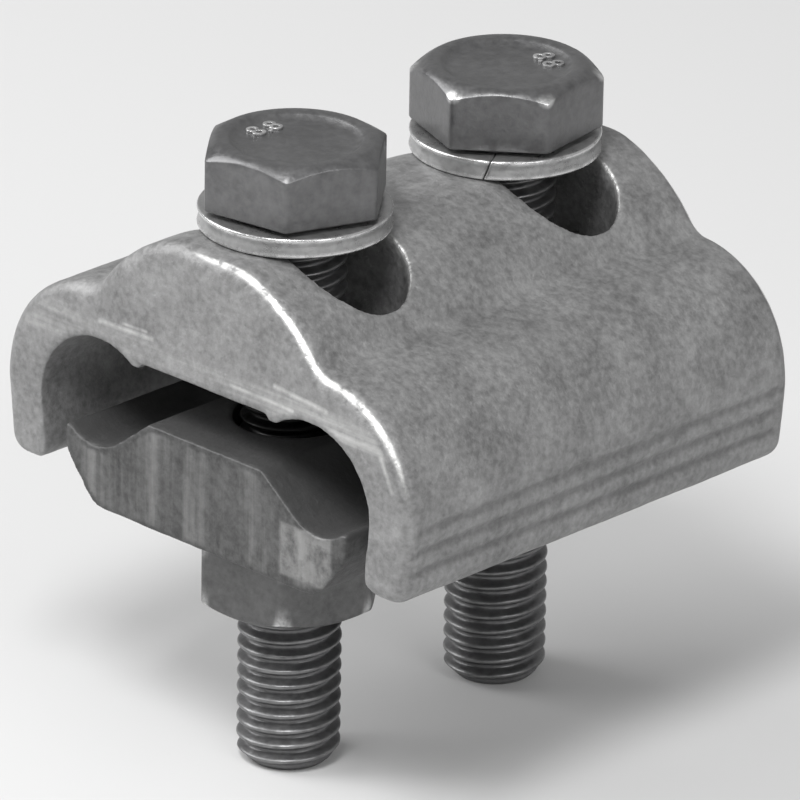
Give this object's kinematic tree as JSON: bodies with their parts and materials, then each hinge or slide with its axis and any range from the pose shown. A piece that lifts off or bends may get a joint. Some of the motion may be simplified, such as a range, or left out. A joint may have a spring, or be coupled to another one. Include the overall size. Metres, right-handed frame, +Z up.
{
  "type": "parallel groove clamp",
  "caption": "Saddle-shaped clamp that joins parallel overhead conductors in grooves between a slotted body and a loose keeper, drawn together by hexagon bolts on spring washers.",
  "frame": {"origin": "midway between the bolts, at the level of the bolt ends", "axes": "+Z up along the bolts towards their heads, +Y along the conductor grooves, +X across the grooves"},
  "size_m": [0.0432, 0.0422, 0.0508],
  "materials": {
    "clamp_alloy": "matt forged, lightly tumbled",
    "bolt_steel": "dull zinc coated",
    "nut_steel": "dull zinc coated",
    "spring_steel": "dull zinc coated"
  },
  "bodies": {
    "clamp_body": {"clamp_body": "clamp_alloy", "spring_washer_front": "spring_steel", "spring_washer_rear": "spring_steel"},
    "bolt_front": {"bolt_front": "bolt_steel"},
    "bolt_rear": {"bolt_rear": "bolt_steel"},
    "keeper": {"keeper": "clamp_alloy", "nut_front": "nut_steel", "nut_rear": "nut_steel"}
  },
  "joints": [
    {"name": "bolt_front_turn", "type": "hinge", "parent": "clamp_body", "child": "bolt_front", "pos_m": [0, -0.0114, 0.0455], "axis": [0, 0, 1], "range_deg": [-1080, 2880]},
    {"name": "bolt_rear_turn", "type": "hinge", "parent": "clamp_body", "child": "bolt_rear", "pos_m": [0, 0.0114, 0.0455], "axis": [0, 0, 1], "range_deg": [-1081, 2881]},
    {"name": "keeper_slide", "type": "slide", "parent": "clamp_body", "child": "keeper", "axis": [0, 0, 1], "range_m": [-0.01001, 0.00376]}
  ],
  "couplings": [
    {"joint": "bolt_rear_turn", "follows": "bolt_front_turn", "ratio": 1},
    {"joint": "keeper_slide", "follows": "bolt_front_turn", "m_per_rad": -0.00019894}
  ]
}
